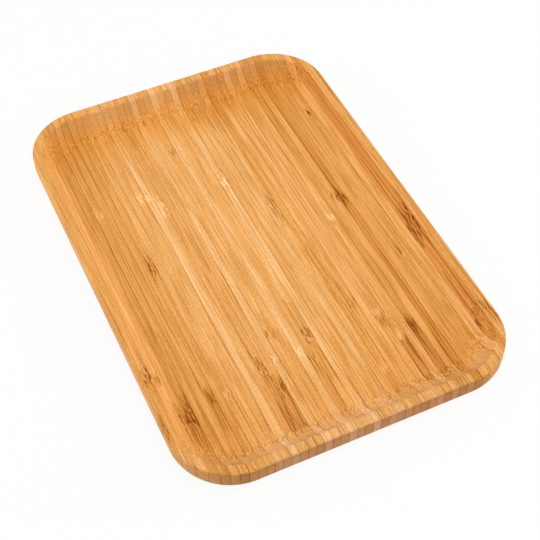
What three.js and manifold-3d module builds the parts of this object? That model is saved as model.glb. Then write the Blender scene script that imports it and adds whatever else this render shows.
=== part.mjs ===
// Bamboo serving tray: a board of side-pressed strips, milled to a shallow tray.
// The strips stand on edge, are glued face to face and run the whole length.
// Millimetres. X runs across the strips, Y along them and Z up.
// The origin is the centre of the base, on the surface that the tray stands on.

import * as THREE from "three";
import { mergeVertices } from "three/addons/utils/BufferGeometryUtils.js";
import Module from "manifold-3d";

// Board
const LENGTH = 280; // along the strips
const WIDTH = 190; // across the strips
const FLOOR = 4; // material left under the well
const WELL_DEPTH = 11; // from the rim down to the floor of the well
const CORNER_RADIUS = 34; // outside corners, in plan

// Edges
const RIM_WIDTH = 5.5; // from the outside wall to where the rim turns into the well
const COVE_RADIUS = 18; // hollow that joins the rim to the floor
const BASE_ROUND = 7.5; // outside wall turned under, so that fingers can lift the tray
const ARRIS = 0.7; // easing of the rim's outside edge
const LIP_ROUND = 1.2; // easing of the rim's inside edge, over the well

// Strips
const STRIP_THICKNESS = 4.44; // planed thickness of a full strip
const GLUE_LINE = 0.1; // film between two strips
const MIDDLE_JOINT = -2; // glue line nearest to the centre, across the board

// Facets of each curve
const CORNER_STEPS = 6; // half the facets of one corner
const COVE_STEPS = 8;
const ROUND_STEPS = 6;
const ARRIS_STEPS = 2;
const LIP_STEPS = 3;

// Limits of the shaping
const LEAST_RADIUS = 0.5; // sharpest corner that the cutter leaves in plan
const LEAST_WALL = 1; // straight wall kept above the round under the edge
const LEAST_EDGE = 0.3; // narrowest edge strip, as a share of the strips' pitch
const OVERCUT = 1; // how far a cutting block stands out past the board
const SAME_POINT = 0.01; // nearer than this, two points of the profile are one

// Natural colours of the strips, each half listed from the edge to the middle
const TONES = {
  p: new THREE.MeshStandardMaterial({ color: 0xf1b571, roughness: 0.45, metalness: 0 }), // pale
  h: new THREE.MeshStandardMaterial({ color: 0xeba961, roughness: 0.45, metalness: 0 }), // honey
  a: new THREE.MeshStandardMaterial({ color: 0xe19c53, roughness: 0.45, metalness: 0 }), // amber
  t: new THREE.MeshStandardMaterial({ color: 0xd68e45, roughness: 0.45, metalness: 0 }), // toffee
};
const LEFT_TONES = "hhhaaaaaahhhphhhphhph";
const RIGHT_TONES = "hhthaaathahhhhhahphhph";

const HEIGHT = FLOOR + WELL_DEPTH;
const wasm = await Module();
wasm.setup();

// Points of the board's outline, set in all round.
function outline(inset) {
  const x = WIDTH / 2 - inset;
  const y = LENGTH / 2 - inset;
  const r = Math.max(CORNER_RADIUS - inset, LEAST_RADIUS);
  const quarter = Math.PI / 2;
  const shape = new THREE.Shape();
  shape.absarc(x - r, y - r, r, 0, quarter);
  shape.absarc(r - x, y - r, r, quarter, 2 * quarter);
  shape.absarc(r - x, r - y, r, 2 * quarter, 3 * quarter);
  shape.absarc(x - r, r - y, r, 3 * quarter, 4 * quarter);
  return shape.getPoints(CORNER_STEPS);
}

// An arc of the edge's profile: x is the distance in from the outside wall and y the height.
function arc(x, y, radius, from, to, steps) {
  const curve = new THREE.EllipseCurve(x, y, radius, radius, from, to, to < from);
  return curve.getPoints(steps);
}

// The edge in section: out from under the base, up the wall, over the rim and down the cove.
// The cove's angle makes it tangent to the floor and to the rim's rounded lip above it.
// A well deeper than both radii gets a straight wall between them.
function edgeProfile() {
  const quarter = Math.PI / 2;
  const under = Math.min(BASE_ROUND, HEIGHT - ARRIS - LEAST_WALL);
  const turn = Math.acos(Math.max(1 - WELL_DEPTH / (COVE_RADIUS + LIP_ROUND), 0));
  const coveAxis = RIM_WIDTH + (COVE_RADIUS + LIP_ROUND) * Math.sin(turn);
  const points = [
    ...arc(under, under, under, -quarter, -2 * quarter, ROUND_STEPS),
    ...arc(ARRIS, HEIGHT - ARRIS, ARRIS, 2 * quarter, quarter, ARRIS_STEPS),
    ...arc(RIM_WIDTH, HEIGHT - LIP_ROUND, LIP_ROUND, quarter, quarter - turn, LIP_STEPS),
    ...arc(coveAxis, FLOOR + COVE_RADIUS, COVE_RADIUS, -quarter - turn, -quarter, COVE_STEPS),
  ];
  return points.filter((p, i) => i === 0 || p.distanceTo(points[i - 1]) > SAME_POINT);
}

// The board as one closed surface: the profile carried round the outline,
// closed by the base below and by the floor of the well above.
function boardGeometry() {
  const rings = edgeProfile().map((p) => ({ z: p.y, points: outline(p.x) }));
  const count = rings[0].points.length;
  const position = rings.flatMap(({ z, points }) => points.flatMap((p) => [p.x, p.y, z]));
  const index = [];
  for (let ring = 0; ring + 1 < rings.length; ring += 1) {
    for (let i = 0; i < count; i += 1) {
      const a = ring * count + i;
      const b = ring * count + ((i + 1) % count);
      index.push(a, b, b + count, a, b + count, a + count);
    }
  }
  const floor = (rings.length - 1) * count;
  for (let i = 1; i + 1 < count; i += 1) {
    index.push(0, i + 1, i);
    index.push(floor, floor + i, floor + i + 1);
  }
  const geometry = new THREE.BufferGeometry();
  geometry.setAttribute("position", new THREE.Float32BufferAttribute(position, 3));
  geometry.setIndex(index);
  return geometry;
}

// A closed geometry as a solid that can be cut.
function toSolid(geometry) {
  geometry.deleteAttribute("normal");
  geometry.deleteAttribute("uv");
  const merged = mergeVertices(geometry);
  const vertProperties = merged.attributes.position.array;
  const triVerts = new Uint32Array(merged.index.array);
  return new wasm.Manifold(new wasm.Mesh({ numProp: 3, vertProperties, triVerts }));
}

// A cut solid as a geometry again.
function toGeometry(solid) {
  const { vertProperties, triVerts } = solid.getMesh();
  const geometry = new THREE.BufferGeometry();
  geometry.setAttribute("position", new THREE.BufferAttribute(vertProperties, 3));
  geometry.setIndex(new THREE.BufferAttribute(triVerts, 1));
  geometry.computeVertexNormals();
  return geometry;
}

// The two faces of each strip of one half, as distances from the middle joint, from the edge inwards.
// The edge strip takes up what full strips leave between that joint and the outside wall.
function stripFaces(reach) {
  const pitch = STRIP_THICKNESS + GLUE_LINE;
  const full = Math.floor(reach / pitch - LEAST_EDGE);
  const faces = [[full * pitch + GLUE_LINE / 2, reach + OVERCUT]];
  for (let i = full; i > 0; i -= 1) {
    faces.push([(i - 1) * pitch + GLUE_LINE / 2, i * pitch - GLUE_LINE / 2]);
  }
  return faces;
}

// One strip: what the board's shape leaves of a plank at this place across it.
function makeStrip(board, centre, thickness, material) {
  const plank = new THREE.BoxGeometry(thickness, LENGTH + 2 * OVERCUT, HEIGHT + 2 * OVERCUT);
  plank.translate(centre, 0, HEIGHT / 2);
  const geometry = toGeometry(board.intersect(toSolid(plank)));
  geometry.translate(-centre, 0, 0);
  const strip = new THREE.Mesh(geometry, material);
  strip.position.x = centre;
  return strip;
}

// The strips of one half, numbered from the edge to the middle joint.
function makeHalf(board, side, direction, tones) {
  const half = new THREE.Group();
  const reach = WIDTH / 2 - direction * MIDDLE_JOINT;
  stripFaces(reach).forEach(([inner, outer], i) => {
    const centre = MIDDLE_JOINT + (direction * (inner + outer)) / 2;
    const material = TONES[tones[i % tones.length]];
    const strip = makeStrip(board, centre, outer - inner, material);
    strip.name = `${side}_strip_${String(i + 1).padStart(2, "0")}`;
    half.add(strip);
  });
  return half;
}

const board = toSolid(boardGeometry());
const tray = new THREE.Group();
tray.add(makeHalf(board, "left", -1, LEFT_TONES));
tray.add(makeHalf(board, "right", 1, RIGHT_TONES));

export default tray;
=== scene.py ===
import math
import random

import bpy
from mathutils import Matrix, Vector


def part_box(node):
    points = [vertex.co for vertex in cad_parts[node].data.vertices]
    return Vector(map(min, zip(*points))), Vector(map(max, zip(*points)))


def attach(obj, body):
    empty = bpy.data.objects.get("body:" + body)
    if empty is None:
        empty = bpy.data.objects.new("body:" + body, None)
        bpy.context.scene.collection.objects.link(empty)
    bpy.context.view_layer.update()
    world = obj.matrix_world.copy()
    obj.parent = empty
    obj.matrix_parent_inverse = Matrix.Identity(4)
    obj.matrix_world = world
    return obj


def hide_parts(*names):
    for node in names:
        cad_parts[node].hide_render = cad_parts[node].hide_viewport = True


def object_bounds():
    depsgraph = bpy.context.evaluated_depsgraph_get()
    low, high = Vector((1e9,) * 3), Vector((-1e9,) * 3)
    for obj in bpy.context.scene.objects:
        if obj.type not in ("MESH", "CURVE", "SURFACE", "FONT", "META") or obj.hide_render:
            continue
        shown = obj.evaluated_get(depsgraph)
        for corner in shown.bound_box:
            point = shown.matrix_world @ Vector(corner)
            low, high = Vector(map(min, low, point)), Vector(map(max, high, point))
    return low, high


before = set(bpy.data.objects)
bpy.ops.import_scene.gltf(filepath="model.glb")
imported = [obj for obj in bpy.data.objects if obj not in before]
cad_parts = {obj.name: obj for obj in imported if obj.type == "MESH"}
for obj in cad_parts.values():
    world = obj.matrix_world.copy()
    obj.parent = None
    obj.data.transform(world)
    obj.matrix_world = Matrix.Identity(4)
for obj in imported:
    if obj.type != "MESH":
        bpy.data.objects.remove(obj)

bl_info = {
    "name": "Bamboo serving tray",
    "version": (1, 0, 0),
    "blender": (4, 5, 0),
    "location": "View3D > Sidebar > Tray",
    "description": "Saws and finishes the strips of a side-pressed bamboo tray",
    "category": "Object",
}

CAD_BOX = [list(corner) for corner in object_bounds()]
SPAN = [high - low for low, high in zip(*CAD_BOX)]
MM = 0.001

# Half the distance from one joint of the board to the next.
HALF_STRIP = 2.27 * MM

# Milling: the steps in each round, the level strip kept beside a round, and how nearly upright
# the normal of a face is when it counts as level.
CORNER_STEPS = 28
ARRIS_STEPS = 4
LIP_STEPS = 6
COVE_STEPS = 18
UNDER_STEPS = 12
LEVEL = 0.5 * MM
LEVEL_FACE = 0.9

# Sawing: the slack of a cut, the distance at which two points become one, and the sharpest bend
# that is still shaded as one smooth surface.
CUT_SLACK = 0.0001 * MM
MERGE = 0.03 * MM
SMOOTH_BEND = math.radians(30)

# The four tones: the letter of a strip's tone, the name of its colour, and how strongly its dark
# fibre lines show.
COLOURS = {"p": "pale", "h": "honey", "a": "amber", "t": "toffee"}
LINES = {"p": 0.8, "h": 1.0, "a": 1.0, "t": 3.0}

# Tone of each strip, each half listed from the edge to the middle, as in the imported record.
TONES = {
    "left": "hhhaaaaaahhhphhhphhph",
    "right": "hhthaaathahhhhhahphhph",
}

# Drawn by lot for each strip: the part of the patterns that it reads, how dark its glue line is,
# and how much lighter or darker its end grain is. One part of the patterns is SEED_STEP deep.
SEEDS = (0, 60)
JOINTS = (0.3, 1.0)
CUTS = (-0.14, 0.14)
SEED_STEP = 50 * MM

# Strips that are lighter or darker than their tone.
SHADES = {
    "left_01": -0.12,
    "left_02": -0.05,
    "left_03": 0.04,
    "left_05": -0.09,
    "left_06": 0.05,
    "left_07": 0.05,
    "left_08": 0.03,
    "left_09": 0.05,
    "left_11": 0.08,
    "left_13": 0.05,
    "left_14": 0.03,
    "left_15": -0.03,
    "left_16": -0.04,
    "left_18": 0.08,
    "right_01": -0.11,
    "right_02": -0.13,
    "right_03": 0.13,
    "right_04": -0.02,
    "right_06": 0.03,
    "right_07": 0.04,
    "right_08": 0.09,
    "right_09": -0.06,
    "right_10": -0.1,
    "right_12": -0.07,
    "right_14": 0.05,
    "right_17": 0.02,
    "right_18": -0.08,
    "right_19": 0.05,
    "right_21": 0.04,
    "right_22": 0.07,
}

# Knuckles, where the cane's joints are cut through. For each strip: the place along it and the
# reach to both sides in millimetres, and how pale (above 0) or dark (below 0) it is.
KNUCKLES = {
    "left_01": ((-96, 10, -0.9),),
    "left_02": ((-65, 7, -0.9),),
    "left_03": ((-66, 6, -0.8),),
    "left_04": ((-92, 9, -1.0),),
    "left_05": ((-92, 12, -0.65),),
    "left_06": ((61, 5, 0.8),),
    "left_08": ((-85, 6, -0.8),),
    "left_09": ((12, 14, -1.2),),
    "left_10": ((-86, 5, 0.4),),
    "left_12": ((63, 7, 0.65),),
    "left_13": ((61, 8, 0.4),),
    "left_14": ((53, 13, 1.0),),
    "left_15": ((-82, 15, -0.8),),
    "left_16": ((-96, 11, -0.8),),
    "left_17": ((-76, 5, 0.4),),
    "left_18": ((-60, 6, -0.7),),
    "left_19": ((91, 4, -0.9),),
    "left_20": ((-79, 5, 1.0),),
    "left_21": ((-85, 9, -0.7),),
    "right_01": ((-104, 9, -0.9),),
    "right_02": ((-102, 9, -0.75),),
    "right_03": ((-30, 16, -1.0), (-100, 10, -0.25)),
    "right_05": ((86, 10, -0.2),),
    "right_06": ((-39, 7, -0.4),),
    "right_08": ((11, 9, -1.0),),
    "right_09": ((15, 7, -0.6),),
    "right_10": ((-88, 7, -1.0),),
    "right_11": ((2, 4, 1.0), (-3, 3, -0.3)),
    "right_12": ((-80, 8, -0.5), (-91, 4, 0.6)),
    "right_13": ((-78, 5, -0.7), (-71, 3, 0.8)),
    "right_15": ((-61, 6, -0.7),),
    "right_16": ((-105, 5, 0.5),),
    "right_17": ((22, 20, -0.6),),
    "right_20": ((112, 4, -0.4),),
    "right_21": ((58, 14, 0.3),),
    "right_22": ((-68, 9, -0.8),),
}
KNUCKLES_PER_STRIP = 2
NO_KNUCKLE = (9000, 1, 0)

# Brown stains, most of which trail from a knuckle. For each strip: where it starts, sharply, and
# where it has faded out, along the strip in millimetres, and how deep it is. Below 0 it is a pale
# patch. One that starts past the far end colours that end of the strip.
PAST_FAR_END = 150
STAINS = {
    "left_02": (-60, -94, 0.14),
    "left_04": (-82, -116, 0.2),
    "left_05": (-76, -118, 0.24),
    "left_06": (PAST_FAR_END, 112, -0.05),
    "left_08": (-78, -114, 0.19),
    "left_09": (-80, -114, 0.1),
    "left_10": (-62, -114, 0.08),
    "left_13": (PAST_FAR_END, 44, 0.08),
    "left_15": (-84, -128, 0.4),
    "left_16": (-86, -128, 0.31),
    "left_17": (-20, -134, 0.07),
    "left_18": (-46, -120, 0.11),
    "left_19": (-58, -120, 0.05),
    "left_20": (-80, -98, -0.06),
    "left_21": (-88, -134, 0.16),
    "right_03": (-14, -46, 0.22),
    # right_04 to right_07: pale patches at the near right corner and up its wall, painted light
    # from the front right.
    "right_04": (-112, -137, -0.12),
    "right_05": (-112, -137, -0.16),
    "right_06": (-116, -137, -0.12),
    "right_07": (-118, -137, -0.1),
    "right_08": (22, 4, 0.1),
    "right_09": (-64, -100, -0.07),
    "right_10": (-80, -132, 0.28),
    "right_12": (-93, -130, 0.48),
    "right_13": (-58, -94, 0.06),
    "right_14": (PAST_FAR_END, 104, 0.18),
    "right_15": (-42, -74, 0.09),
    "right_16": (PAST_FAR_END, 84, 0.14),
    "right_18": (PAST_FAR_END, 66, 0.14),
    "right_19": (PAST_FAR_END, 100, 0.15),
    "right_20": (PAST_FAR_END, 112, 0.08),
    "right_21": (PAST_FAR_END, 48, 0.06),
    "right_22": (-44, -110, 0.2),
}
NO_STAIN = (9000, 8000, 0)

# Tints, as shares of red, green and blue: painted shade on the floor and hollows towards the ends,
# the end grain, a painted sheen on the near end, and painted shade on the outside walls across the
# ends.
PAINTED_END_SHADE = (0.93, 0.8, 0.52)
DULLER = (0.88, 0.92, 1.09)
PAINTED_SHEEN = (0.975, 1.01, 1.15)
PAINTED_WALL_SHADE = (0.87, 0.8, 0.84)

# Darker bamboo is browner as well, since it loses more blue than red. The darkest keeps a fifth.
BROWNING = (0.65, 1.0, 1.9)
DARKEST = 0.2

# The stage: the paper's size, how far below the tray it lies and how much of its white is the
# room's, the place and width of each light in metres, and the camera's sensor in millimetres.
PAPER_SIZE = 6
PAPER_DROP = 0.1 * MM
PAPER_GLOW = 0.93
WHITE = (1, 1, 1, 1)
LIGHTS = {
    "key_light": ((0.3, -0.18, 1.1), 0.9),
    "left_fill": ((-0.9, 0.4, 0.3), 0.6),
    "right_fill": ((0.9, -0.3, 0.3), 0.6),
}
SENSOR = 36
NEAREST_VIEW = 10 * MM


class TrayBoard(bpy.types.PropertyGroup):
    """Sizes of the milled board."""

    width: bpy.props.FloatProperty(
        name="Width", description="Across the strips", default=SPAN[0], unit="LENGTH")
    length: bpy.props.FloatProperty(
        name="Length", description="Along the strips", default=SPAN[1], unit="LENGTH")
    height: bpy.props.FloatProperty(
        name="Height", description="From the base to the rim", default=SPAN[2], unit="LENGTH")
    floor: bpy.props.FloatProperty(
        name="Floor", description="Material left under the well", default=4 * MM, unit="LENGTH")
    corner: bpy.props.FloatProperty(
        name="Corner radius", description="Outside corners in plan",
        default=34 * MM, unit="LENGTH")
    rim: bpy.props.FloatProperty(
        name="Rim width", description="From the wall to where the rim turns into the well",
        default=4.8 * MM, unit="LENGTH")
    cove: bpy.props.FloatProperty(
        name="Cove radius", description="Hollow between rim and floor",
        default=18 * MM, unit="LENGTH")
    under: bpy.props.FloatProperty(
        name="Base round", description="Outside wall turned under",
        default=7.5 * MM, unit="LENGTH")
    arris: bpy.props.FloatProperty(
        name="Arris", description="Easing of the rim's outside edge",
        default=0.7 * MM, unit="LENGTH")
    lip: bpy.props.FloatProperty(
        name="Lip", description="Easing of the rim's inside edge, over the well",
        default=1.7 * MM, unit="LENGTH")
    glue: bpy.props.FloatProperty(
        name="Glue line", description="Film between two strips, closed up on the surface",
        default=0.1 * MM, unit="LENGTH")


class TrayFinish(bpy.types.PropertyGroup):
    """Colours of the bamboo, as sRGB hex values."""

    pale: bpy.props.StringProperty(
        name="Pale", description="Palest strips", default="F3B875")
    honey: bpy.props.StringProperty(
        name="Honey", description="Most of the strips", default="ECAA60")
    amber: bpy.props.StringProperty(
        name="Amber", description="Warmer strips", default="E4A152")
    toffee: bpy.props.StringProperty(
        name="Toffee", description="Darkest strips", default="D68C3B")


class TrayStage(bpy.types.PropertyGroup):
    """Camera and light."""

    azimuth: bpy.props.FloatProperty(
        name="Azimuth", description="Turn of the camera about the tray",
        default=math.radians(-24.353), subtype="ANGLE")
    elevation: bpy.props.FloatProperty(
        name="Elevation", description="Height of the camera above the table",
        default=math.radians(50.376), subtype="ANGLE")
    roll: bpy.props.FloatProperty(
        name="Roll", description="Tilt of the camera",
        default=math.radians(-0.748), subtype="ANGLE")
    distance: bpy.props.FloatProperty(
        name="Distance", description="From the camera to its target",
        default=690.5 * MM, unit="LENGTH")
    target: bpy.props.FloatVectorProperty(
        name="Target", description="Point in the middle of the picture",
        default=(1.02 * MM, -19.44 * MM, 3.8 * MM), subtype="TRANSLATION")
    lens: bpy.props.FloatProperty(
        name="Lens", description="Focal length on a 36 mm sensor, in millimetres", default=81.52)
    paper: bpy.props.StringProperty(
        name="Paper", description="Colour of the table's paper", default="F4F4F2")
    ambient: bpy.props.FloatProperty(
        name="Ambient", description="Light of the white room", default=0.52)
    key_light: bpy.props.FloatProperty(
        name="Key light", description="Soft light above, in watts", default=5.4)
    left_fill: bpy.props.FloatProperty(
        name="Left fill", description="Low soft light on the left, in watts", default=4.0)
    right_fill: bpy.props.FloatProperty(
        name="Right fill", description="Low soft light on the right, in watts", default=3.1)


def linear(code):
    """An sRGB hex value as linear red, green and blue, with alpha."""
    parts = [int(code[i:i + 2], 16) / 255 for i in (0, 2, 4)]
    return [c / 12.92 if c <= 0.04045 else ((c + 0.055) / 1.055) ** 2.4 for c in parts] + [1]


def add(tree, kind, *values, sockets=None, **settings):
    """Add a node and give back its outputs.

    Values go to its inputs in order, sockets to inputs by name or number, settings to itself.
    """
    node = tree.nodes.new("ShaderNode" + kind)
    for key, value in settings.items():
        setattr(node, key, value)
    for key, value in [*enumerate(values), *(sockets or {}).items()]:
        if isinstance(value, bpy.types.NodeSocket):
            tree.links.new(value, node.inputs[key])
        elif value is not None:
            node.inputs[key].default_value = value
    return node.outputs


def per_mm(across, along, through):
    """Scale of a pattern from the size of its features in millimetres.

    The sizes are across, along and through the strip.
    """
    return (1 / (across * MM), 1 / (along * MM), 1 / (through * MM))


def knuckles(tree, own, y):
    """How near a knuckle is, ragged from fibre to fibre, and how pale and how dark it is."""
    ragged_size = (0.9, 40, 2)
    ragged_reach = 1.6
    peak = 1.3
    near, tint = 0.0, 0.0
    ragged = add(tree, "VectorMath", own, per_mm(*ragged_size), operation="MULTIPLY")[0]
    ragged = add(tree, "TexNoise", sockets={"Vector": ragged, "Scale": 1.0, "Detail": 0.0})[0]
    ragged = add(tree, "Math", ragged, 0.5, operation="SUBTRACT")[0]
    for number in range(KNUCKLES_PER_STRIP):
        mark = add(tree, "Attribute", attribute_name=f"knuckle_{number + 1}")["Vector"]
        at, reach, strength = add(tree, "SeparateXYZ", mark)
        along = add(tree, "Math", y, at, operation="SUBTRACT")[0]
        shift = add(tree, "Math", reach, ragged_reach, operation="MULTIPLY")[0]
        along = add(tree, "Math", ragged, shift, along, operation="MULTIPLY_ADD")[0]
        away = add(tree, "Math", along, operation="ABSOLUTE")[0]
        here = add(tree, "MapRange", away, 0.0, reach, peak, 0.0,
                   interpolation_type="SMOOTHSTEP")[0]
        # Held to 1, so that a knuckle is at its full strength all through its middle.
        here = add(tree, "Math", here, 1.0, operation="MINIMUM")[0]
        near = add(tree, "Math", here, near, operation="ADD")[0]
        tint = add(tree, "Math", here, strength, tint, operation="MULTIPLY_ADD")[0]
    pale = add(tree, "Math", tint, 0.0, operation="MAXIMUM")[0]
    dark = add(tree, "Math", tint, 0.0, operation="MINIMUM")[0]
    dark = add(tree, "Math", dark, operation="ABSOLUTE")[0]
    return near, pale, dark


def bent_fibres(tree, own, near):
    """Place among the fibres, which wander along a strip, and bend and ripple at a knuckle."""
    fibre = own
    for size, amount, where in (
        ((8, 60, 8), (0.4, 0, 3), 1.0),
        ((3, 8, 4), (3.5, 0, 3), near),
        ((1.1, 2.6, 1.5), (0.8, 0, 0.6), near),
    ):
        spot = add(tree, "VectorMath", own, per_mm(*size), operation="MULTIPLY")[0]
        bend = add(tree, "TexNoise", sockets={"Vector": spot, "Scale": 1.0, "Detail": 0.0})[1]
        bend = add(tree, "VectorMath", bend, (0.5, 0.5, 0.5), operation="SUBTRACT")[0]
        bend = add(tree, "VectorMath", bend, sockets={"Scale": where}, operation="SCALE")[0]
        reach = [a * MM for a in amount]
        fibre = add(tree, "VectorMath", bend, reach, fibre, operation="MULTIPLY_ADD")[0]
    return fibre


def fibre_grain(tree, own, fibre):
    """Grain, finer to broader.

    The finest is drawn coarser than it is, so that it shows from a metre away.
    """
    grain = {}
    for word, where, size, detail in (
        ("pore", own, (0.5, 1.2, 0.6), 0.0),
        ("thread", fibre, (0.4, 38, 0.8), 0.0),
        ("line", fibre, (0.6, 140, 1.3), 0.0),
        ("streak", fibre, (1.6, 80, 3), 1.0),
        ("cloud", own, (10, 50, 12), 1.0),
        ("spot", fibre, (1.1, 7, 2), 0.0),
    ):
        spot = add(tree, "VectorMath", where, per_mm(*size), operation="MULTIPLY")[0]
        grain[word] = add(tree, "TexNoise", sockets={
            "Vector": spot, "Scale": 1.0, "Detail": detail})[0]
    for word, low, high, least, most in (
        ("line", 0.6, 0.68, 0.0, 1.0),
        ("thread", 0.4, 0.6, -0.5, 0.5),
        ("spot", 0.42, 0.62, 0.0, 1.0),
    ):
        grain[word] = add(tree, "MapRange", grain[word], low, high, least, most,
                          interpolation_type="SMOOTHSTEP")[0]
    return grain


def stain_along(tree, y, streak):
    """A stain that starts raggedly, fibre by fibre, and fades out along the strip."""
    ragged_reach = 11 * MM
    edge = (4.5 * MM, 6 * MM)
    fade = 12 * MM
    mark = add(tree, "Attribute", attribute_name="stain")["Vector"]
    start, stop, depth = add(tree, "SeparateXYZ", mark)
    ragged = add(tree, "Math", streak, ragged_reach, start, operation="MULTIPLY_ADD")[0]
    below = add(tree, "Math", ragged, y, operation="SUBTRACT")[0]
    begun = add(tree, "MapRange", below, *edge, 0.0, 1.0)[0]
    fading = add(tree, "Math", stop, fade, operation="ADD")[0]
    left = add(tree, "MapRange", y, stop, fading, 0.0, 1.0, interpolation_type="SMOOTHSTEP")[0]
    stain = add(tree, "Math", begun, left, operation="MULTIPLY")[0]
    return add(tree, "Math", stain, depth, operation="MULTIPLY")[0]


def fibre_bundles(tree, fibre, across, spot):
    """The slits in a knuckle, and the fibre bundles, thicker towards the skin.

    Both are drawn at twice their real spacing so that they show.
    """
    slit_spacing = 1.6 * MM
    bundle_spacing = 0.9 * MM
    girths = (0.2, 0.44)
    fibre_x, _, fibre_z = add(tree, "SeparateXYZ", fibre)
    row = add(tree, "Math", fibre_x, math.tau / slit_spacing, operation="MULTIPLY")[0]
    row = add(tree, "Math", row, operation="SINE")[0]
    slit = add(tree, "MapRange", row, 0.1, 0.8, 0.0, 1.0)[0]
    broken = add(tree, "MapRange", spot, 0.0, 1.0, 0.3, 1.0)[0]
    slit = add(tree, "Math", slit, broken, operation="MULTIPLY")[0]
    section = add(tree, "CombineXYZ", fibre_x, fibre_z)[0]
    gap = add(tree, "TexVoronoi", sockets={"Vector": section, "Scale": 1 / bundle_spacing},
              voronoi_dimensions="2D")["Distance"]
    girth = add(tree, "MapRange", across, 0.0, 1.0, *girths)[0]
    inside = add(tree, "Math", girth, gap, operation="SUBTRACT")[0]
    bundle = add(tree, "MapRange", inside, -0.1, 0.1, 0.0, 1.0,
                 interpolation_type="SMOOTHSTEP")[0]
    return slit, bundle


def painted_shade_at_ends(tree, y, z):
    """Painted shade: the floor and hollow at the far end, and less so at the near end, darker and
    deeper in colour.
    """
    hollow = 0.0
    for first, last, low, high, share in ((85, 122, 7, 15, 0.94), (-65, -118, 4.3, 6.5, 0.4)):
        part = add(tree, "MapRange", y, first * MM, last * MM, 0.0, share,
                   interpolation_type="SMOOTHSTEP")[0]
        sunk = add(tree, "MapRange", z, low * MM, high * MM, 1.0, 0.0)[0]
        hollow = add(tree, "Math", part, sunk, hollow, operation="MULTIPLY_ADD")[0]
    return hollow


def glue_lines(tree, off, joint, cloud, end, facing):
    """Glue lines at both faces of a strip, fainter here and there, plain on the ends."""
    soft, full = HALF_STRIP - 0.25 * MM, HALF_STRIP - 0.1 * MM
    reach = add(tree, "Math", off, operation="ABSOLUTE")[0]
    seam = add(tree, "MapRange", reach, soft, full, 0.0, 1.0)[0]
    plain = add(tree, "MapRange", cloud, 0.3, 0.6, 0.2, 1.0)[0]
    plain = add(tree, "Math", plain, joint, operation="MULTIPLY")[0]
    on_ends = add(tree, "Math", end, 0.5, operation="MULTIPLY")[0]
    plain = add(tree, "Math", plain, on_ends, operation="MAXIMUM")[0]
    on_walls = add(tree, "MapRange", facing, 0.85, 0.98, 0.0, 0.7)[0]
    plain = add(tree, "Math", plain, on_walls, operation="MAXIMUM")[0]
    return add(tree, "Math", seam, plain, operation="MULTIPLY")[0]


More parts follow.
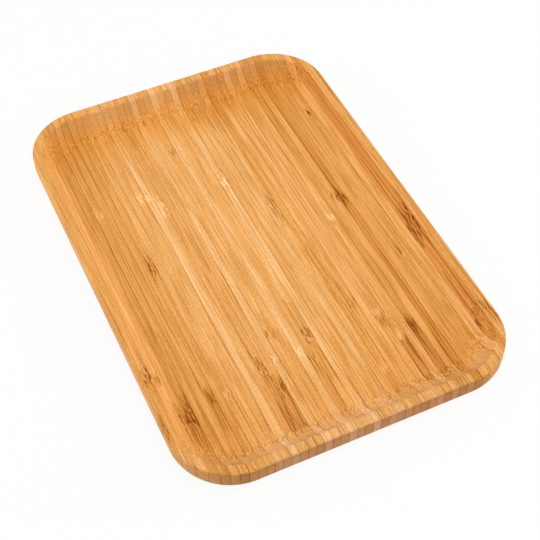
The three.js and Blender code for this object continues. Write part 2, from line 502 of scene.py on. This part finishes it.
def bamboo(name, tone, lines):
    """Side-pressed bamboo, planed and sanded, under clear satin lacquer.

    To the eye: fine fibre lines along each strip that end as short dashes in the hollows and as
    dots on the ends, denser and browner towards the skin side, swirled knuckles, and a soft broad
    gloss.
    """
    material = bpy.data.materials.new(name)
    material.use_nodes = True
    tree = material.node_tree
    tree.nodes.clear()

    place = add(tree, "TexCoord")
    x, y, z = add(tree, "SeparateXYZ", place["Object"])
    seed, middle, skin, shade, joint, cut = [
        add(tree, "Attribute", attribute_name=word)["Fac"]
        for word in ("seed", "middle", "skin", "shade", "joint", "cut")]

    # Place across the strip: from 0 on the pith side to 1 on the skin side.
    off = add(tree, "Math", x, middle, operation="SUBTRACT")[0]
    outward = add(tree, "Math", off, skin, operation="MULTIPLY")[0]
    across = add(tree, "MapRange", outward, -HALF_STRIP, HALF_STRIP, 0.0, 1.0)[0]

    # Each strip reads its own part of every pattern.
    deep = add(tree, "Math", seed, SEED_STEP, z, operation="MULTIPLY_ADD")[0]
    own = add(tree, "CombineXYZ", x, y, deep)[0]
    near, pale, dark = knuckles(tree, own, y)
    fibre = bent_fibres(tree, own, near)
    grain = fibre_grain(tree, own, fibre)
    thread, spot = grain["thread"], grain["spot"]
    stain = stain_along(tree, y, grain["streak"])
    slit, bundle = fibre_bundles(tree, fibre, across, spot)
    # Painted shade in the floor and hollow towards the ends.
    hollow = painted_shade_at_ends(tree, y, z)

    # End grain, from the way the surface faces, and the foot of a hollow, where it begins.
    facing = add(tree, "SeparateXYZ", place["Normal"])[1]
    facing = add(tree, "Math", facing, operation="ABSOLUTE")[0]
    end = add(tree, "MapRange", facing, 0.3, 0.8, 0.0, 1.0, interpolation_type="SMOOTHSTEP")[0]
    foot = add(tree, "MapRange", facing, 0.05, 0.2, 0.0, 1.0)[0]
    not_steep = add(tree, "MapRange", facing, 0.35, 0.6, 1.0, 0.0)[0]
    foot = add(tree, "Math", foot, not_steep, operation="MULTIPLY")[0]
    seam = glue_lines(tree, off, joint, grain["cloud"], end, facing)

    # The outside walls across the ends, and painted shade on them, darkest under the rim.
    wall = add(tree, "MapRange", facing, 0.92, 0.97, 0.0, 1.0)[0]
    shade_under_rim = add(tree, "MapRange", z, 11 * MM, 13.5 * MM, 0.0, 1.0)[0]
    shade_under_rim = add(tree, "Math", shade_under_rim, wall, operation="MULTIPLY")[0]

    # Painted shade: the near half darkens slowly, its rim a little more. A painted sheen turns the
    # end of it pinker.
    near_half_shade = add(tree, "MapRange", y, 0.0, -130 * MM, 0.0, 1.0)[0]
    near_rim_shade = add(tree, "MapRange", y, -133 * MM, -135 * MM, 0.0, 1.0)[0]
    near_sheen = add(tree, "MapRange", y, -110 * MM, -121 * MM, 0.0, 1.0)[0]

    # Threads show more at a knuckle and hardly at all on the ends, and take up more of a stain.
    lively = add(tree, "Math", near, 0.6, 1.0, operation="MULTIPLY_ADD")[0]
    lively = add(tree, "Math", end, -0.85, lively, operation="MULTIPLY_ADD")[0]
    streaky = add(tree, "Math", thread, -1.0, 1.0, operation="MULTIPLY_ADD")[0]

    # All that makes the strip lighter or darker, as a share of its tone.
    light = shade
    for part, weight in (
        (add(tree, "Math", thread, lively, operation="MULTIPLY")[0], 0.33),
        (add(tree, "Math", grain["pore"], 0.5, operation="SUBTRACT")[0], 0.44),
        (add(tree, "Math", grain["streak"], 0.5, operation="SUBTRACT")[0], 0.08),
        (add(tree, "Math", grain["cloud"], 0.5, operation="SUBTRACT")[0], 0.16),
        (add(tree, "Math", 0.5, across, operation="SUBTRACT")[0], 0.04),
        (add(tree, "Math", 0.3, bundle, operation="SUBTRACT")[0], 0.06),
        (add(tree, "Math", bundle, foot, operation="MULTIPLY")[0], -0.2),
        (add(tree, "Math", cut, end, operation="MULTIPLY")[0], 1.0),
        (near_half_shade, -0.055),
        (near_rim_shade, -0.04),
        (shade_under_rim, -0.08),
        (grain["line"], -0.15 * lines),
        (seam, -0.7),
        (pale, 0.16),
        (add(tree, "Math", pale, spot, operation="MULTIPLY")[0], 0.2),
        (near, 0.08),
        (add(tree, "Math", near, slit, operation="MULTIPLY")[0], -0.38),
        (add(tree, "Math", dark, slit, operation="MULTIPLY")[0], -0.7),
    ):
        light = add(tree, "Math", part, weight, light, operation="MULTIPLY_ADD")[0]
    light = add(tree, "Math", light, 1.0, operation="ADD")[0]
    light = add(tree, "Math", light, DARKEST, operation="MAXIMUM")[0]
    brown = add(tree, "Math", dark, 0.2, operation="MULTIPLY")[0]
    brown = add(tree, "Math", stain, streaky, brown, operation="MULTIPLY_ADD")[0]
    clear = add(tree, "Math", 1.0, brown, operation="SUBTRACT")[0]
    light = add(tree, "Math", light, clear, operation="MULTIPLY")[0]

    # The tone, browner where it is darker, and then the tint of each part of the tray, with painted
    # shade at the ends and on the end walls and a painted sheen at the near end.
    colour = add(tree, "CombineXYZ", *[
        add(tree, "Math", light, power, operation="POWER")[0] for power in BROWNING])[0]
    colour = add(tree, "VectorMath", colour, linear(tone)[:3], operation="MULTIPLY")[0]
    for share, tint in ((hollow, PAINTED_END_SHADE), (end, DULLER), (near_sheen, PAINTED_SHEEN), (wall, PAINTED_WALL_SHADE)):
        tinted = add(tree, "VectorMath", colour, tint, operation="MULTIPLY")[0]
        colour = add(tree, "Mix", sockets={0: share, 6: colour, 7: tinted}, data_type="RGBA")[2]

    # Satin lacquer fills the fibres, which leaves a faint relief; the ends drink it and stay
    # duller.
    rough = add(tree, "MapRange", bundle, 0.0, 1.0, 0.46, 0.52)[0]
    rough = add(tree, "Math", end, 0.1, rough, operation="MULTIPLY_ADD")[0]
    relief = add(tree, "Bump", sockets={
        "Strength": 0.3, "Distance": 0.03 * MM, "Height": bundle})[0]
    body = add(tree, "BsdfPrincipled", sockets={
        "Base Color": colour, "Roughness": rough, "Normal": relief, "Specular IOR Level": 0.1})[0]
    add(tree, "OutputMaterial", body)
    return material


def bamboo_of(look, tone):
    """The material of a tone, made the first time that it is asked for."""
    word = COLOURS[tone]
    name = f"Bamboo, side-pressed, {word}, satin lacquer"
    return bpy.data.materials.get(name) or bamboo(name, getattr(look, word), LINES[tone])


def seen_white(tree):
    """1 for what the camera sees, straight, mirrored or through, and 0 for light on the tray."""
    path = add(tree, "LightPath")
    seen = add(tree, "Math", path["Is Camera Ray"], path["Is Glossy Ray"],
               operation="MAXIMUM")[0]
    return add(tree, "Math", seen, path["Is Transmission Ray"], operation="MAXIMUM")[0]


def deselect_all():
    """Leave edit mode and select nothing."""
    if bpy.context.object is not None and bpy.context.object.mode != "OBJECT":
        bpy.ops.object.mode_set(mode="OBJECT")
    bpy.ops.object.select_all(action="DESELECT")


def pick(piece, part, test):
    """In edit mode, select the faces or the edges of a piece that pass a test."""
    bpy.ops.object.mode_set(mode="EDIT")
    bpy.ops.mesh.select_mode(type=part)
    bpy.ops.mesh.select_all(action="DESELECT")
    bpy.ops.object.mode_set(mode="OBJECT")
    for item in piece.data.polygons if part == "FACE" else piece.data.edges:
        item.select = test(item)
    bpy.ops.object.mode_set(mode="EDIT")


def arc(x, y, radius, start, stop, steps):
    """Points of an arc in the edge's section, after its first one; angles in degrees."""
    turns = [math.radians(start + (stop - start) * i / steps) for i in range(1, steps + 1)]
    return [(x + radius * math.cos(t), y + radius * math.sin(t)) for t in turns]


def mill_board(board):
    """The whole board: a slab with rounded corners, turned under below and hollowed above."""
    deselect_all()
    top = board.height - board.arris
    bpy.ops.mesh.primitive_cube_add(
        size=1, location=(0, 0, (board.under + top) / 2),
        scale=(board.width, board.length, top - board.under))
    slab = bpy.context.object
    bpy.ops.object.transform_apply(location=True, rotation=True, scale=True)
    mesh = slab.data

    def upright(edge):
        first, last = [mesh.vertices[i].co.z for i in edge.vertices]
        return abs(first - last) > MM

    pick(slab, "EDGE", upright)
    bpy.ops.mesh.bevel(
        offset=board.corner, offset_type="OFFSET", segments=CORNER_STEPS, affect="EDGES",
        profile=0.5)

    # The section above the wall: in from the wall, over the rim and down the hollow to the floor.
    tangent = board.cove + board.lip
    turn = math.degrees(math.acos(1 - (board.height - board.floor) / tangent))
    axis = board.rim + tangent * math.sin(math.radians(turn))
    above = [
        (0, top),
        *arc(board.arris, top, board.arris, 180, 90, ARRIS_STEPS),
        (board.arris + LEVEL, board.height),
        (board.rim - LEVEL, board.height),
        (board.rim, board.height),
        *arc(board.rim, board.height - board.lip, board.lip, 90, 90 - turn, LIP_STEPS),
        *arc(axis, board.floor + board.cove, board.cove, 270 - turn, 270, COVE_STEPS),
        (axis + 2 * LEVEL, board.floor),
    ]
    below = [
        (0, board.under),
        *arc(board.under, board.under, board.under, 180, 270, UNDER_STEPS),
        (board.under + 2 * LEVEL, 0),
    ]
    for section, way in ((above, 1), (below, -1)):
        pick(slab, "FACE", lambda face: face.normal.z * way > LEVEL_FACE)
        for (x0, z0), (x1, z1) in zip(section, section[1:]):
            bpy.ops.mesh.inset(thickness=x1 - x0, depth=(z1 - z0) * way)
    bpy.ops.object.mode_set(mode="OBJECT")
    return slab


def saw_strip(slab, name, low, high):
    """One strip, sawn from a copy of the board between two planes across it."""
    deselect_all()
    slab.select_set(True)
    bpy.context.view_layer.objects.active = slab
    bpy.ops.object.duplicate()
    strip = bpy.context.object
    strip.name = strip.data.name = name
    bpy.ops.object.mode_set(mode="EDIT")
    for plane, side in ((low, "clear_inner"), (high, "clear_outer")):
        bpy.ops.mesh.select_all(action="SELECT")
        bpy.ops.mesh.bisect(
            plane_co=(plane, 0, 0), plane_no=(1, 0, 0), use_fill=True, threshold=CUT_SLACK,
            **{side: True})
    # Points that a cut left almost in one place become one, and the many-sided faces are divided
    # evenly.
    bpy.ops.mesh.select_all(action="SELECT")
    bpy.ops.mesh.remove_doubles(threshold=MERGE)
    bpy.ops.mesh.select_mode(type="FACE")
    bpy.ops.mesh.select_all(action="DESELECT")
    bpy.ops.mesh.select_face_by_sides(number=4, type="GREATER")
    bpy.ops.mesh.quads_convert_to_tris(quad_method="BEAUTY", ngon_method="BEAUTY")
    bpy.ops.mesh.select_all(action="SELECT")
    bpy.ops.mesh.normals_make_consistent(inside=False)
    bpy.ops.object.mode_set(mode="OBJECT")
    bpy.ops.object.shade_smooth_by_angle(angle=SMOOTH_BEND)
    return strip


def note(strip, name, *values):
    """Write one value, or three, on all of a strip's points, for its material to read."""
    kind, word = ("FLOAT", "value") if len(values) == 1 else ("FLOAT_VECTOR", "vector")
    field = strip.data.attributes.new(name, kind, "POINT")
    field.data.foreach_set(word, values * len(strip.data.vertices))


def saw_half(context, side):
    """All the strips of one half, from the edge to the middle."""
    scene = context.scene
    half_glue = scene.tray_board.glue / 2
    draws = random.Random(side)
    slab = mill_board(scene.tray_board)
    for number, tone in enumerate(TONES[side], 1):
        key = f"{side}_{number:02d}"
        node = f"{side}_strip_{number:02d}"
        low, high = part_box(node)
        left, right = low.x - half_glue, high.x + half_glue
        strip = saw_strip(slab, f"{key}_bamboo", left, right)
        note(strip, "seed", draws.uniform(*SEEDS))
        note(strip, "skin", draws.choice((-1.0, 1.0)))
        note(strip, "joint", draws.uniform(*JOINTS))
        note(strip, "cut", draws.uniform(*CUTS))
        note(strip, "middle", right - HALF_STRIP if side == "left" else left + HALF_STRIP)
        note(strip, "shade", SHADES.get(key, 0.0))
        marks = [*KNUCKLES.get(key, ()), *[NO_KNUCKLE] * KNUCKLES_PER_STRIP]
        for index in range(KNUCKLES_PER_STRIP):
            at, reach, strength = marks[index]
            note(strip, f"knuckle_{index + 1}", at * MM, reach * MM, strength)
        start, stop, depth = STAINS.get(key, NO_STAIN)
        note(strip, "stain", start * MM, stop * MM, depth)
        strip.data.materials.clear()
        strip.data.materials.append(bamboo_of(scene.tray_finish, tone))
        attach(strip, "root")
        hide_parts(node)
    bpy.data.objects.remove(slab)


class TRAY_OT_left_strips(bpy.types.Operator):
    """Saw the strips to the left of the middle joint"""

    bl_idname = "tray.left_strips"
    bl_label = "Left strips"

    def execute(self, context):
        saw_half(context, "left")
        return {"FINISHED"}


class TRAY_OT_right_strips(bpy.types.Operator):
    """Saw the strips to the right of the middle joint"""

    bl_idname = "tray.right_strips"
    bl_label = "Right strips"

    def execute(self, context):
        saw_half(context, "right")
        return {"FINISHED"}


class TRAY_OT_stage(bpy.types.Operator):
    """Lay white paper under the tray and set the lights and the camera"""

    bl_idname = "tray.stage"
    bl_label = "Stage"

    def execute(self, context):
        stage = context.scene.tray_stage
        self.lay_paper(stage)
        self.light_room(context.scene, stage)
        self.set_camera(context.scene, stage)
        context.scene.view_settings.view_transform = "Standard"
        return {"FINISHED"}

    def lay_paper(self, stage):
        """White paper, matt: to the camera nearly as bright as the room, with the tray's shadow."""
        deselect_all()
        bpy.ops.mesh.primitive_plane_add(size=PAPER_SIZE, location=(0, 0, -PAPER_DROP))
        paper = bpy.context.object
        paper.name = "paper"
        material = bpy.data.materials.new("Paper, white, matt")
        material.use_nodes = True
        tree = material.node_tree
        tree.nodes.clear()
        matt = add(tree, "BsdfDiffuse", linear(stage.paper))[0]
        white = add(tree, "Emission", WHITE, 1.0)[0]
        share = add(tree, "Math", seen_white(tree), PAPER_GLOW, operation="MULTIPLY")[0]
        add(tree, "OutputMaterial", add(tree, "MixShader", share, matt, white)[0])
        paper.data.materials.append(material)

    def light_room(self, scene, stage):
        """A white room, one large soft light above the tray, and a low one on each side."""
        world = bpy.data.worlds.new("White room")
        scene.world = world
        world.use_nodes = True
        tree = world.node_tree
        tree.nodes.clear()
        level = add(tree, "MapRange", seen_white(tree), 0.0, 1.0, stage.ambient, 1.0)[0]
        add(tree, "OutputWorld", add(tree, "Background", WHITE, level)[0])
        for name, (spot, size) in LIGHTS.items():
            deselect_all()
            aim = Vector(spot).to_track_quat("Z", "Y").to_euler()
            bpy.ops.object.light_add(type="AREA", location=spot, rotation=aim)
            lamp = bpy.context.object
            lamp.name = name
            lamp.data.shape = "DISK"
            lamp.data.size = size
            lamp.data.energy = getattr(stage, name)

    def set_camera(self, scene, stage):
        """The camera on its target, turned, raised and tilted."""
        a, e = stage.azimuth, stage.elevation
        back = Vector((math.sin(a) * math.cos(e), -math.cos(a) * math.cos(e), math.sin(e)))
        right = Vector((math.cos(a), math.sin(a), 0))
        up = back.cross(right)
        turn = Matrix((right, up, back)).transposed() @ Matrix.Rotation(stage.roll, 3, "Z")
        deselect_all()
        bpy.ops.object.camera_add(
            location=Vector(stage.target) + back * stage.distance, rotation=turn.to_euler())
        camera = bpy.context.object
        camera.data.lens = stage.lens
        camera.data.sensor_width = SENSOR
        camera.data.clip_start = NEAREST_VIEW
        scene.camera = camera


class TRAY_PT_panel(bpy.types.Panel):
    """Sizes, colours and steps of the tray"""

    bl_label = "Bamboo tray"
    bl_idname = "TRAY_PT_panel"
    bl_space_type = "VIEW_3D"
    bl_region_type = "UI"
    bl_category = "Tray"

    def draw(self, context):
        for group_name in GROUPS:
            group = getattr(context.scene, group_name)
            box = self.layout.box()
            for name in group.__annotations__:
                box.prop(group, name)
        for step in STEPS:
            self.layout.operator(step.bl_idname)


STEPS = (TRAY_OT_left_strips, TRAY_OT_right_strips, TRAY_OT_stage)
GROUPS = {"tray_board": TrayBoard, "tray_finish": TrayFinish, "tray_stage": TrayStage}
CLASSES = (*GROUPS.values(), *STEPS, TRAY_PT_panel)


def register():
    """Add the tray's settings, steps and panel to Blender."""
    for cls in CLASSES:
        bpy.utils.register_class(cls)
    for name, group in GROUPS.items():
        setattr(bpy.types.Scene, name, bpy.props.PointerProperty(type=group))


def unregister():
    """Take them away again."""
    for name in GROUPS:
        delattr(bpy.types.Scene, name)
    for cls in reversed(CLASSES):
        bpy.utils.unregister_class(cls)


def main():
    """Make the tray and its stage."""
    register()
    bpy.ops.tray.left_strips()
    bpy.ops.tray.right_strips()
    bpy.ops.tray.stage()


if __name__ == "__main__":
    main()
